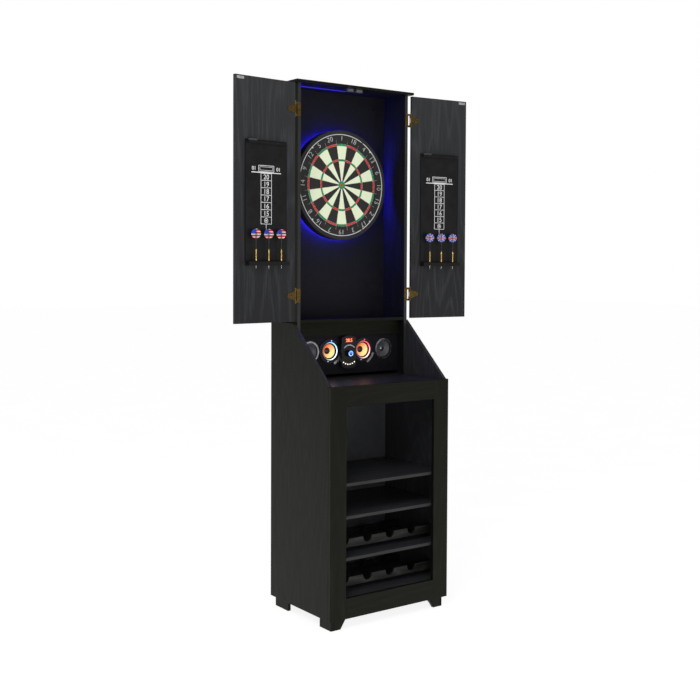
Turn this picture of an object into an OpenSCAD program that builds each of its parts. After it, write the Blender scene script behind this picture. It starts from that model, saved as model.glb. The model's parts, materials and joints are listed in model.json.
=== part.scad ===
// Free-standing dart cabinet: a tall base with a slanted speaker console, open
// shelves and bottle rests, and an upper cabinet with two doors round a dartboard.
// X is width, -Y is the front, +Z is up. The origin is on the floor under the middle.

/* [Base cabinet] */
// Outside width of the base cabinet
body_w = 584; // [520:1:640]
// Depth from the face frame to the rear edges
body_d = 426; // [400:1:460]
// Height of the gap under the side panels
foot_h = 41; // [30:1:60]
// Height of the counter surface
counter_z = 935; // [900:1:960]
// Height of the shoulder where the slanted sides end
shoulder_z = 1165; // [1140:1:1200]
// Distance from the front of the face frame to the top of the slant
slant_run = 267; // [240:1:290]
// Width of the two upright members of the face frame
stile_w = 75; // [60:1:90]
// Height of the two cross members of the face frame
rail_h = 78; // [60:1:90]
// Height of the top face of the display shelf
display_shelf_z = 560; // [540:1:600]
// Height of the top face of the middle shelf
middle_shelf_z = 433; // [415:1:450]
// Height of the top face of the upper bottle shelf
bottle_shelf_z = 272; // [262:1:285]
// Number of bottles side by side
bottles = 4; // [3:1:4]

/* [Panels] */
// Thickness of the side panels, counter and face frame
side_t = 15; // [12:1:18]
// Thickness of shelves, floors and console boards
board_t = 12; // [9:1:15]
// Thickness of the back panels
back_t = 5; // [3:1:6]
// Distance from the rear edges to the back panels
back_inset = 22; // [18:1:30]

/* [Upper cabinet] */
// Overall height of the object
total_h = 2122; // [2100:1:2160]
// Distance from the face frame to the front edges of the upper sides
upper_setback = 255; // [240:1:265]
// Width of the top board
top_w = 588; // [580:1:600]
// Thickness of the top board
top_t = 10; // [9:1:15]
// How far the top board reaches in front of the upper sides
top_overhang = 20; // [18:1:26]

/* [Doors] */
// How far short of flat the open doors stand, in degrees
door_ajar = 5; // [0:0.5:20]
// Thickness of the doors
door_t = 12; // [10:1:13]
// Gap between the closed doors and the top board
door_top_gap = 3; // [2:0.5:5]
// Distance of the hinge axis from the outside of the upper side
hinge_out = 13; // [11:0.5:15]
// Outside radius of the hinge barrel
knuckle_r = 3.2; // [3:0.1:3.4]
// Distance from the ends of a door to the middle of each hinge
hinge_inset = 102; // [90:1:130]

/* [Scoreboards and darts] */
// Width of each scoreboard
score_w = 196; // [180:1:200]
// Height of the lower edge of each scoreboard
score_z = 1393; // [1380:1:1400]
// Height of each scoreboard
score_h = 478; // [460:1:500]
// Spacing of the darts in a rack
dart_pitch = 60; // [50:1:64]
// Distance of the dart axes from the face of the scoreboard
dart_out = 17; // [16:0.5:19]

/* [Dartboard] */
// Height of the bull above the floor
bull_z = 1727; // [1720:1:1737]
// Overall radius of the dartboard
board_r = 225.5; // [224:0.5:227]
// Thickness of the dartboard
dartboard_t = 38; // [34:1:40]

/* [Speaker console] */
// Sideways place of the speaker unit
unit_x = -7; // [-12:1:12]
// Height of the middle of the woofers
woofer_z = 1044; // [1040:1:1050]
// Distance of each woofer from the middle of the unit
woofer_dx = 84; // [80:1:90]
// Sideways place of the two passive speakers
passive_x = 187; // [182:1:200]
// Radius of the rim of a passive speaker
passive_r = 43.5; // [40:0.5:46]

/* [Hidden] */
$fn = 64;

// Base cabinet planes
front_y = -body_d / 2;
rear_y = body_d / 2;
frame_back_y = front_y + side_t;
back_y = rear_y - back_inset - back_t;
body_x = body_w / 2;
bay_x = body_x - side_t;
base_floor_z = foot_h + rail_h + 1;

// Upper cabinet planes: its sides stand on the counter between the base sides
upper_y = front_y + upper_setback;
upper_in_x = bay_x - side_t;
top_z = total_h - top_t;
upper_floor_z = shoulder_z + board_t;

// Doors, worked out open flat and then swung in by door_ajar, which is their rest position
hinge_x = bay_x + hinge_out;
leaf_t = 1.2;
leaf_gap = 3;
hinge_y = upper_y - 4.8;
edge_gap = 3.5;
closed_face_y = upper_y - leaf_gap;
open_face_y = 2 * hinge_y - closed_face_y;
door_x0 = hinge_x + edge_gap;
door_x1 = 2 * hinge_x - 1;
door_mid_x = (door_x0 + door_x1) / 2;
door_z0 = shoulder_z + 7;
door_z1 = top_z - door_top_gap;
hinge_heights = [door_z0 + hinge_inset, door_z1 - hinge_inset];

// Hinge details
leaf_half_h = 28;
middle_knuckle_half = 9.7;
outer_knuckle_start = 10;
barrel_half = 31;
pin_r = 1.5;
pin_bore_r = 1.55;

// Scoreboards and darts
score_t = 4;
score_face_y = open_face_y - score_t;
dart_y = score_face_y - dart_out;
rack_h = 16;
rack_depth = dart_out + 8;
rack_top_z = score_z + rack_h;
rack_hole_r = 1.6;
tray_h = 8;
tray_depth = 12;
tray_floor = 2;
tray_half_w = 90;
tray_z = score_z + score_h - tray_h - 5;
eraser_h = 13;
eraser_w = 38;
barrel_len = 48;
flight_r = 18.5;
flight_z = rack_top_z + 105;

// Dartboard
board_face_y = 133;
board_back_y = board_face_y + dartboard_t;
playing_r = 170;

// Speaker console
panel_y = 88;
panel_gap = 13;
header_h = 58;
unit_face_y = panel_y - 22;
pod_face_y = panel_y - 4;
pod_r = 51;
mid_half_w = 36;
woofer_hole_r = 33;
woofer_cone_depth = 5;
ring_light_r = 36.8;
knob_z = 1033;
knob_r = 13.5;
knob_shaft_r = 3;
button_r = 2.3;
button_arc_r = 45.5;
button_step = 14.8;

// Bottle rests
rest_pitch = 112;
neck_r = 21;
neck_z = 50;
belly_r = 40;
belly_z = 46;
front_rest_y = -134;
rear_rest_y = 80;

// A block between two opposite corners
module block(lo, hi) {
    translate(lo) cube(hi - lo);
}

// A rod along Y from y0 to y1
module rod_y(x, z, r, y0, y1) {
    translate([x, y1, z]) rotate([90, 0, 0]) cylinder(h = y1 - y0, r = r);
}

// A ring along Y from y0 to y1
module ring_y(x, z, r_in, r_out, y0, y1) {
    difference() {
        rod_y(x, z, r_out, y0, y1);
        rod_y(x, z, r_in, y0 - 1, y1 + 1);
    }
}

// The same shape on both sides of the middle
module both_sides() {
    children();
    mirror([1, 0, 0]) children();
}

// Swings parts of the right or left door (side 1 or -1) about its hinge axis
module on_door(side) {
    translate([side * hinge_x, hinge_y, 0]) rotate([0, 0, -side * door_ajar])
        translate([-side * hinge_x, -hinge_y, 0]) children();
}

// ---- Base cabinet ----

// Side panel with the slanted console edge
module base_side(x0) {
    translate([x0, 0, 0]) rotate([90, 0, 90]) linear_extrude(side_t)
        polygon([[frame_back_y, foot_h], [rear_y, foot_h], [rear_y, shoulder_z],
            [front_y + slant_run, shoulder_z], [frame_back_y, counter_z]]);
}

module base_left_side() {
    color("#26272a") base_side(-body_x);
}

module base_right_side() {
    color("#26272a") base_side(bay_x);
}

module base_back_panel() {
    color("#1b1c1f")
        block([-bay_x, back_y, foot_h], [bay_x, back_y + back_t, counter_z - side_t]);
}

module base_floor() {
    color("#202124")
        block([-bay_x, frame_back_y, base_floor_z - board_t], [bay_x, back_y, base_floor_z]);
}

module counter_top() {
    color("#202226")
        block([-bay_x, frame_back_y, counter_z - side_t], [bay_x, rear_y, counter_z]);
}

module frame_stiles() {
    color("#2a2b2d") both_sides()
        block([body_x - stile_w, front_y, foot_h], [body_x, frame_back_y, counter_z]);
}

module frame_rails() {
    rail_x = body_x - stile_w;
    color("#2a2b2d") {
        block([-rail_x, front_y, counter_z - rail_h], [rail_x, frame_back_y, counter_z]);
        block([-rail_x, front_y, foot_h], [rail_x, frame_back_y, base_floor_z]);
    }
}

module shelves() {
    color("#232427") for (z = [display_shelf_z, middle_shelf_z, bottle_shelf_z])
        block([-bay_x, frame_back_y, z - board_t], [bay_x, back_y, z]);
}

// Studs under the shelf ends
module shelf_pins() {
    color("silver") for (z = [display_shelf_z, middle_shelf_z, bottle_shelf_z], y = [-150, 140])
        both_sides() translate([bay_x - 9, y, z - board_t - 2.5])
            rotate([0, 90, 0]) cylinder(h = 9, r = 2.5);
}

// A strip across the bay with a round notch for each bottle
module bottle_rest(y, z0, z1, notch_r, notch_z) {
    difference() {
        block([-bay_x, y, z0], [bay_x, y + board_t, z1]);
        for (i = [0 : bottles - 1])
            rod_y((i - (bottles - 1) / 2) * rest_pitch, notch_z, notch_r, y - 1, y + board_t + 1);
    }
}

module bottle_rests() {
    color("#2c2d2e") for (z = [base_floor_z, bottle_shelf_z]) {
        bottle_rest(front_rest_y, z + 19, z + neck_z + 3, neck_r, z + neck_z);
        bottle_rest(rear_rest_y, z, z + 30, belly_r, z + belly_z);
    }
}

// Bracket foot: a shaped board across and a plain board along the side
module bracket_foot(y_face, y_inner, y_end) {
    foot_top = base_floor_z - board_t;
    translate([0, max(y_face, y_inner), 0]) rotate([90, 0, 0])
        linear_extrude(abs(y_inner - y_face))
            polygon([[bay_x - 45, 0], [bay_x, 0], [bay_x, foot_top],
                [bay_x - 72, foot_top], [bay_x - 72, foot_h]]);
    block([bay_x - board_t, min(y_inner, y_end), 0],
        [bay_x, max(y_inner, y_end), foot_top]);
}

module feet() {
    rear_face = rear_y - side_t;
    color("#26272a") both_sides() {
        bracket_foot(frame_back_y, frame_back_y + board_t, frame_back_y + 76);
        difference() {
            bracket_foot(rear_face, rear_face - board_t, rear_face - 95);
            block([0, back_y, foot_h], [body_x, back_y + back_t, base_floor_z]);
        }
    }
}

// ---- Upper cabinet ----

module upper_side(x0) {
    block([x0, upper_y, counter_z], [x0 + side_t, rear_y, top_z]);
}

module upper_left_side() {
    color("#242528") upper_side(-bay_x);
}

module upper_right_side() {
    color("#242528") upper_side(upper_in_x);
}

module top_board() {
    color("#26272a")
        block([-top_w / 2, upper_y - top_overhang, top_z], [top_w / 2, rear_y, total_h]);
}

module upper_floor() {
    color("#26272a")
        block([-upper_in_x, upper_y, shoulder_z], [upper_in_x, back_y, upper_floor_z]);
}

// Back panel with two holes for wall screws
module upper_back_panel() {
    color("#101218") difference() {
        block([-upper_in_x, back_y, counter_z], [upper_in_x, back_y + back_t, top_z]);
        wall_screw_holes();
    }
}

module wall_screw_holes() {
    both_sides() rod_y(200, top_z - 52, 2.5, back_y - 1, rear_y + 1);
}

// Rails behind the back panels; the upper one takes the wall screws
module wall_cleats() {
    color("#4a4238") difference() {
        union() {
            block([-upper_in_x, back_y + back_t, top_z - 90], [upper_in_x, rear_y, top_z - 10]);
            block([-bay_x, back_y + back_t, counter_z - side_t - 80],
                [bay_x, rear_y, counter_z - side_t]);
        }
        wall_screw_holes();
    }
}

// ---- Speaker console ----

// Panel with two round openings and a cable slot left open below it
module speaker_panel() {
    color("#191a1d") difference() {
        block([-upper_in_x, panel_y, counter_z + panel_gap],
            [upper_in_x, panel_y + board_t, shoulder_z]);
        both_sides() rod_y(passive_x, woofer_z, passive_r - 6, panel_y - 1, panel_y + board_t + 1);
        for (side = [-1, 1])
            rod_y(unit_x + side * woofer_dx, woofer_z, woofer_hole_r,
                panel_y - 1, panel_y + board_t + 1);
    }
}

module speaker_header() {
    color("#242629")
        block([-upper_in_x, panel_y - board_t, shoulder_z - header_h],
            [upper_in_x, panel_y, shoulder_z]);
}

function button_angle(i) = -90 + (i - 3.5) * button_step;
function button_x(i) = unit_x + button_arc_r * cos(button_angle(i));
function button_z(i) = knob_z + button_arc_r * sin(button_angle(i));

// Two low round bezels joined by a round-ended middle body
module speaker_housing() {
    color("#15161a") difference() {
        union() {
            for (side = [-1, 1])
                rod_y(unit_x + side * woofer_dx, woofer_z, pod_r, pod_face_y, panel_y);
            intersection() {
                rod_y(unit_x, woofer_z - 5.5, 68, unit_face_y, panel_y);
                block([unit_x - mid_half_w, unit_face_y, counter_z],
                    [unit_x + mid_half_w, panel_y, shoulder_z]);
            }
        }
        for (side = [-1, 1])
            rod_y(unit_x + side * woofer_dx, woofer_z, woofer_hole_r, unit_face_y - 1, panel_y + 1);
        rod_y(unit_x, knob_z, knob_shaft_r + 0.05, unit_face_y - 1, panel_y - 4);
        for (i = [1 : 6])
            rod_y(button_x(i), button_z(i), button_r + 0.3, unit_face_y - 1, unit_face_y + 9);
    }
}

// A flat arc about (x, z), from angle a0 to a1
module flat_arc(x, z, r_in, r_out, a0, a1, y0, y1) {
    reach = 2 * r_out;
    intersection() {
        ring_y(x, z, r_in, r_out, y0, y1);
        translate([x, y1, z]) rotate([90, 0, 0]) linear_extrude(y1 - y0)
            polygon([[0, 0], reach * [cos(a0), sin(a0)],
                reach * [cos((a0 + a1) / 2), sin((a0 + a1) / 2)], reach * [cos(a1), sin(a1)]]);
    }
}

// Bright trim: a corner arc beside each bezel and the arc over the knob
module speaker_accents() {
    color("silver") {
        difference() {
            for (side = [-1, 1])
                flat_arc(unit_x + side * woofer_dx, woofer_z, pod_r + 0.5, pod_r + 10,
                    -66, -16, panel_y - 3, panel_y);
            block([unit_x - mid_half_w - 0.3, unit_face_y, counter_z],
                [unit_x + mid_half_w + 0.3, panel_y + 1, shoulder_z]);
        }
        flat_arc(unit_x, knob_z, 32, 36.5, 42, 138, unit_face_y - 3, unit_face_y);
    }
}

// Lit rings round the woofers, each with a small light above and below
module woofer_light_rings() {
    lamp_r = 42.5;
    color("#dfe9ff") for (side = [-1, 1]) {
        x = unit_x + side * woofer_dx;
        ring_y(x, woofer_z, ring_light_r - 3.2, ring_light_r, pod_face_y - 2, pod_face_y);
        for (a = [78, 258])
            rod_y(x + lamp_r * cos(a), woofer_z + lamp_r * sin(a), 2.2,
                pod_face_y - 1.2, pod_face_y);
    }
}

// Paper cone with a dust cap
module speaker_cone(x, y, r, throat_r, depth) {
    translate([x, y, woofer_z]) rotate([-90, 0, 0]) rotate_extrude()
        polygon([[r, 0], [throat_r, depth], [throat_r * 0.6, depth - 3], [0, depth - 5],
            [0, depth - 7], [throat_r * 0.7, depth - 5.5], [throat_r, depth - 3.5], [r, -2]]);
}

// Basket and magnet of a speaker, hollow for the cone, with the coil that drives the cone
module speaker_driver(x, hole_r, coil_y) {
    y = panel_y + board_t;
    rim_r = hole_r + 5;
    magnet_r = hole_r * 0.72;
    translate([x, 0, woofer_z]) rotate([-90, 0, 0]) rotate_extrude()
        polygon([[hole_r - 1.5, y], [rim_r, y], [rim_r, y + 2.5], [hole_r + 1, y + 2.5],
            [magnet_r, y + 16], [magnet_r, y + 34], [0, y + 34], [0, y + 17],
            [magnet_r - 3, y + 17]]);
    ring_y(x, woofer_z, 7, 9, coil_y, y + 18);
}

module woofer_cones() {
    cone_y = pod_face_y + woofer_cone_depth;
    color("#e87a2a") for (side = [-1, 1]) {
        speaker_cone(unit_x + side * woofer_dx, cone_y, woofer_hole_r - 0.1, 14, 19);
        speaker_driver(unit_x + side * woofer_dx, woofer_hole_r, cone_y + 15);
    }
}

// Rims of the outer pair; the left one tucks under its neighbouring pod
module passive_speaker_rims() {
    color("#5a5c60") difference() {
        both_sides()
            ring_y(passive_x, woofer_z, passive_r - 7, passive_r, panel_y - 4, panel_y);
        for (side = [-1, 1])
            rod_y(unit_x + side * woofer_dx, woofer_z, pod_r + 0.3, pod_face_y, panel_y + 1);
    }
}

module passive_speaker_cones() {
    color("#2a2b2f") both_sides() {
        speaker_cone(passive_x, panel_y + 2.5, passive_r - 7.5, 14, 9);
        speaker_driver(passive_x, passive_r - 7.5, panel_y + 8);
    }
}

module speaker_display() {
    color("#c33524")
        block([unit_x - 21, unit_face_y - 1.2, 1077], [unit_x + 21, unit_face_y, 1097]);
}

module volume_knob() {
    color("#2d3038") {
        rod_y(unit_x, knob_z, knob_r, unit_face_y - 14, unit_face_y - 0.5);
        rod_y(unit_x, knob_z, knob_shaft_r, unit_face_y - 1, panel_y - 8);
    }
}

// Button i of six, in an arc under the knob
module push_button(i) {
    color("#e6e2c8")
        rod_y(button_x(i), button_z(i), button_r, unit_face_y - 1.6, unit_face_y + 6);
}

// ---- Dartboard and lights ----

module dartboard_disc() {
    color("#26241f") rod_y(0, bull_z, board_r - 1.2, board_face_y, board_back_y);
}

module dartboard_band() {
    color("#15161a")
        ring_y(0, bull_z, board_r - 1.2, board_r, board_face_y - 1.5, board_back_y);
}

// Wire rings and twenty radial wires
module dartboard_spider() {
    wire = 0.9;
    color("#c9ccd0") {
        for (r = [16, 99, 107, 162, playing_r])
            ring_y(0, bull_z, r - wire / 2, r + wire / 2, board_face_y - 1.2, board_face_y);
        for (i = [0 : 19])
            translate([0, 0, bull_z]) rotate([0, 9 + 18 * i, 0])
                block([-wire / 2, board_face_y - 1.2, 16], [wire / 2, board_face_y, 188]);
    }
}

module dartboard_number_ring() {
    color("white") difference() {
        ring_y(0, bull_z, 208, 210.4, board_face_y - 1.7, board_face_y);
        for (a = [30, 150, 270])
            translate([0, 0, bull_z]) rotate([0, a, 0])
                block([-4, board_face_y - 3, 200], [4, board_face_y + 1, 220]);
    }
}

// Hanger plate with the boss that carries the board's middle
module dartboard_bracket() {
    color("#8a8d92") {
        block([-35, back_y - 3, bull_z - 35], [35, back_y, bull_z + 35]);
        rod_y(0, bull_z, 13, board_back_y, back_y - 3);
    }
}

// Blue light ring behind the dartboard and the strip under the top board
module led_lights() {
    color("#3b2cff") {
        ring_y(0, bull_z, 208, 216, back_y - 13, back_y);
        block([4 - upper_in_x, 110, top_z - 2], [2, 120, top_z]);
    }
}

// ---- Hinges and catches ----

// Tube with the pin's bore
module knuckle(z0, z1) {
    translate([hinge_x, hinge_y, z0]) difference() {
        cylinder(h = z1 - z0, r = knuckle_r);
        translate([0, 0, -1]) cylinder(h = z1 - z0 + 2, r = pin_bore_r);
    }
}

// Frame-shaped leaf on the front edge of the side, with the two outer knuckles
module cabinet_leaf(z) {
    window_x = bay_x + 1.5;
    translate([0, 0, z]) difference() {
        union() {
            block([upper_in_x + 1, upper_y - leaf_t, -leaf_half_h],
                [hinge_x - 3.2, upper_y, leaf_half_h]);
            for (s = [-1, 1]) {
                z0 = s > 0 ? outer_knuckle_start : -barrel_half;
                knuckle(z0, z0 + barrel_half - outer_knuckle_start);
                block([hinge_x - 3.2, hinge_y, max(z0, -leaf_half_h)],
                    [hinge_x - pin_bore_r, upper_y,
                        min(z0 + barrel_half - outer_knuckle_start, leaf_half_h)]);
            }
        }
        block([window_x, upper_y - 9, -leaf_half_h + 8],
            [hinge_x - 4.6, upper_y + 1, leaf_half_h - 8]);
        for (s = [-1, 1])
            rod_y(upper_in_x + 8, s * 21, 1.8, upper_y - 5, upper_y + 1);
    }
}

module cabinet_hinge_leaves() {
    color("#9a762c") both_sides() for (z = hinge_heights) cabinet_leaf(z);
}

module hinge_pins() {
    color("#b08a3c") both_sides() for (z = hinge_heights)
        translate([hinge_x, hinge_y, z - barrel_half - 1])
            cylinder(h = 2 * barrel_half + 2, r = pin_r);
}

// Shaped leaf on the inner face of the open door, with the middle knuckle
module door_leaf(z) {
    translate([0, 0, z]) difference() {
        union() {
            knuckle(-middle_knuckle_half, middle_knuckle_half);
            block([hinge_x + pin_bore_r, open_face_y - leaf_t, -middle_knuckle_half],
                [door_x0 + 1, open_face_y, middle_knuckle_half]);
            translate([0, open_face_y, 0]) rotate([90, 0, 0]) linear_extrude(leaf_t)
                polygon([[door_x0, -17], [door_x0 + 8, -16], [door_x0 + 20, -11],
                    [door_x0 + 33, -9], [door_x0 + 36, -5], [door_x0 + 36, 5],
                    [door_x0 + 33, 9], [door_x0 + 20, 11], [door_x0 + 8, 16], [door_x0, 17]]);
        }
        for (hole = [[8, -9], [8, 9], [28, 0]])
            rod_y(door_x0 + hole[0], hole[1], 1.8, open_face_y - 3, open_face_y + 1);
    }
}

module right_hinge_leaves() {
    color("#9a762c") on_door(1) for (z = hinge_heights) door_leaf(z);
}

module left_hinge_leaves() {
    mirror([1, 0, 0]) right_hinge_leaves();
}

// Twin magnet housings under the top board
module magnetic_catches() {
    color("#6f7175") both_sides()
        block([5, closed_face_y + leaf_t + 0.6, top_z - 13], [39, upper_y + 14, top_z]);
}

// ---- Doors ----

module right_door_panel() {
    color("#3a3c3e") on_door(1)
        block([door_x0, open_face_y, door_z0], [door_x1, open_face_y + door_t, door_z1]);
}

module left_door_panel() {
    mirror([1, 0, 0]) right_door_panel();
}

module right_strike_plate() {
    color("#d8dadc") on_door(1)
        block([door_x1 - 41, open_face_y - leaf_t, door_z1 - 15],
            [door_x1 - 8, open_face_y, door_z1 - 5]);
}

module left_strike_plate() {
    mirror([1, 0, 0]) right_strike_plate();
}

// Board with a shallow trough moulded along its top
module scoreboard(mid_x) {
    translate([mid_x, 0, 0]) difference() {
        union() {
            block([-score_w / 2, score_face_y, score_z],
                [score_w / 2, open_face_y, score_z + score_h]);
            block([-tray_half_w, score_face_y - tray_depth, tray_z],
                [tray_half_w, open_face_y, tray_z + tray_h]);
        }
        block([2 - tray_half_w, score_face_y - tray_depth + 2, tray_z + tray_floor],
            [tray_half_w - 2, score_face_y, tray_z + tray_h + 1]);
    }
}

module right_scoreboard() {
    color("#0d0e10") on_door(1) scoreboard(door_mid_x);
}

module left_scoreboard() {
    color("#0d0e10") on_door(-1) scoreboard(-door_mid_x);
}

// Bar with a hole for each dart's point
module dart_rack() {
    difference() {
        block([-95, score_face_y - rack_depth, score_z], [95, score_face_y, rack_top_z]);
        for (i = [-1 : 1])
            translate([i * dart_pitch, dart_y, score_z - 1])
                cylinder(h = rack_h + 2, r = rack_hole_r);
    }
}

module right_dart_rack() {
    color("#121316") on_door(1) translate([door_mid_x, 0, 0]) dart_rack();
}

module left_dart_rack() {
    color("#121316") on_door(-1) translate([-door_mid_x, 0, 0]) dart_rack();
}

// Eraser lying at the left end of the tray on the right or left door
module eraser(side) {
    mid_x = side * door_mid_x;
    color("#8d9094") on_door(side)
        block([mid_x - tray_half_w + 4, score_face_y - tray_depth + 2.5, tray_z + tray_floor],
            [mid_x - tray_half_w + 4 + eraser_w, score_face_y - 0.5,
                tray_z + tray_floor + eraser_h]);
}

// ---- Darts ----

// Point, barrel, shaft and four round wings, standing point down in the rack of a door;
// place is -1, 0 or 1 from left to right
module dart(side, place) {
    on_door(side) translate([side * door_mid_x + place * dart_pitch, dart_y, 0]) {
        color("silver") translate([0, 0, rack_top_z - 30]) cylinder(h = 10, r1 = 0.2, r2 = 1.2);
        color("silver") translate([0, 0, rack_top_z - 20]) cylinder(h = 20, r = 1.2);
        color("#b98a2f") translate([0, 0, rack_top_z]) cylinder(h = barrel_len, r = 3.4);
        color("#17181b") translate([0, 0, rack_top_z + barrel_len])
            cylinder(h = flight_z - rack_top_z - barrel_len, r = 2.2);
        color("#b02a35") for (a = [-45, 45])
            translate([0, 0, flight_z]) rotate([0, 0, a]) rotate([90, 0, 0])
                cylinder(h = 0.8, r = flight_r, center = true);
    }
}

base_left_side();
base_right_side();
base_back_panel();
base_floor();
counter_top();
frame_stiles();
frame_rails();
shelves();
shelf_pins();
bottle_rests();
feet();
upper_left_side();
upper_right_side();
top_board();
upper_floor();
upper_back_panel();
wall_cleats();
speaker_panel();
speaker_header();
speaker_housing();
speaker_accents();
woofer_light_rings();
woofer_cones();
passive_speaker_rims();
passive_speaker_cones();
speaker_display();
dartboard_disc();
dartboard_band();
dartboard_spider();
dartboard_number_ring();
dartboard_bracket();
led_lights();
cabinet_hinge_leaves();
hinge_pins();
magnetic_catches();
left_door_panel();
left_hinge_leaves();
left_strike_plate();
left_scoreboard();
left_dart_rack();
eraser(-1);  // left_eraser
right_door_panel();
right_hinge_leaves();
right_strike_plate();
right_scoreboard();
right_dart_rack();
eraser(1);  // right_eraser
volume_knob();
push_button(1);  // button_1
push_button(2);  // button_2
push_button(3);  // button_3
push_button(4);  // button_4
push_button(5);  // button_5
push_button(6);  // button_6
dart(-1, -1);  // dart_1
dart(-1, 0);  // dart_2
dart(-1, 1);  // dart_3
dart(1, -1);  // dart_4
dart(1, 0);  // dart_5
dart(1, 1);  // dart_6
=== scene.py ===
"""Looks for the dart cabinet: materials, fine parts, floor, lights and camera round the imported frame."""

import json
import math

import bpy
from mathutils import Matrix, Vector


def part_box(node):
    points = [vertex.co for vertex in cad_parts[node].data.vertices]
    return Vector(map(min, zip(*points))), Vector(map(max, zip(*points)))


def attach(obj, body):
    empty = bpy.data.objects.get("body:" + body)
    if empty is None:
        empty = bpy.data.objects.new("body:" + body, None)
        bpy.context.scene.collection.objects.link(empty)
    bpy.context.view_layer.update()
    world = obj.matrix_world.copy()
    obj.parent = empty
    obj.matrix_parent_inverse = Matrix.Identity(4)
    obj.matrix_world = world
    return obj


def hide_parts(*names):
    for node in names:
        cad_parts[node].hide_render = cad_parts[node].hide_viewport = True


MM = 0.001
UNIT_X = -7 * MM
WOOFER_DX = 84 * MM
WOOFER_Z = 1044 * MM
# The light strip under the top board is above this height, and the light ring below it
STRIP_ABOVE_Z = 2.09
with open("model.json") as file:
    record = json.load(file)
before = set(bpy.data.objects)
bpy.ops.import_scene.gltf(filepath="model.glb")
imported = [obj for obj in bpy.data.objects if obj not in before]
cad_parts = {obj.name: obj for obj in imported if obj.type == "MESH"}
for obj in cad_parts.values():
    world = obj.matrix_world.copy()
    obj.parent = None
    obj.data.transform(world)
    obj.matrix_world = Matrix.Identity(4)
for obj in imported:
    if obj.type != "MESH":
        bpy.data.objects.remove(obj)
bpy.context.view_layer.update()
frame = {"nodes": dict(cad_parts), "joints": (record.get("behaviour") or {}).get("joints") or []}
nodes = frame["nodes"]
scene = bpy.context.scene


# ---------------------------------------------------------------- node helpers

def new_material(name):
    """An empty procedural material: returns it, its tree and its main shader."""
    mat = bpy.data.materials.new(name)
    mat.use_nodes = True
    tree = mat.node_tree
    return mat, tree, tree.nodes["Principled BSDF"]


def add_node(tree, kind, inputs=(), **settings):
    """Adds a shader node with settings; inputs maps a socket to a value or another node's output."""
    node = tree.nodes.new("ShaderNode" + kind)
    for key, value in settings.items():
        setattr(node, key, value)
    for key, value in dict(inputs).items():
        if isinstance(value, bpy.types.NodeSocket):
            tree.links.new(value, node.inputs[key])
        else:
            node.inputs[key].default_value = value
    return node


def math_node(tree, operation, *values):
    """Output of one arithmetic step."""
    return add_node(tree, "Math", dict(enumerate(values)), operation=operation).outputs[0]


def blend_colours(tree, factor, first, second):
    """Colour between two, by factor."""
    mix = add_node(tree, "Mix", data_type="RGBA")
    for socket, value in ((mix.inputs[0], factor), (mix.inputs[6], first), (mix.inputs[7], second)):
        if isinstance(value, bpy.types.NodeSocket):
            tree.links.new(value, socket)
        else:
            socket.default_value = value
    return mix.outputs[2]


def colour(*rgb):
    return (*rgb, 1.0)


def place(tree, scale=(1, 1, 1), offset=(0, 0, 0)):
    """Object coordinates, stretched."""
    coords = add_node(tree, "TexCoord").outputs["Object"]
    return add_node(tree, "Mapping", {"Vector": coords, "Scale": scale, "Location": offset}).outputs[0]


def noise(tree, vector, scale, detail=4.0, rough=0.6):
    return add_node(tree, "TexNoise", {"Vector": vector, "Scale": scale, "Detail": detail,
                                       "Roughness": rough}).outputs["Fac"]


def span(tree, value, low, high, to_low=0.0, to_high=1.0):
    """Value remapped from low..high and clamped."""
    inputs = {"Value": value, "From Min": low, "From Max": high, "To Min": to_low, "To Max": to_high}
    return add_node(tree, "MapRange", inputs, clamp=True).outputs[0]


def add_bump(tree, shader, height, depth, strength=0.5):
    bump = add_node(tree, "Bump", {"Height": height, "Distance": depth, "Strength": strength})
    tree.links.new(bump.outputs[0], shader.inputs["Normal"])


# ------------------------------------------------------------------- materials

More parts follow.
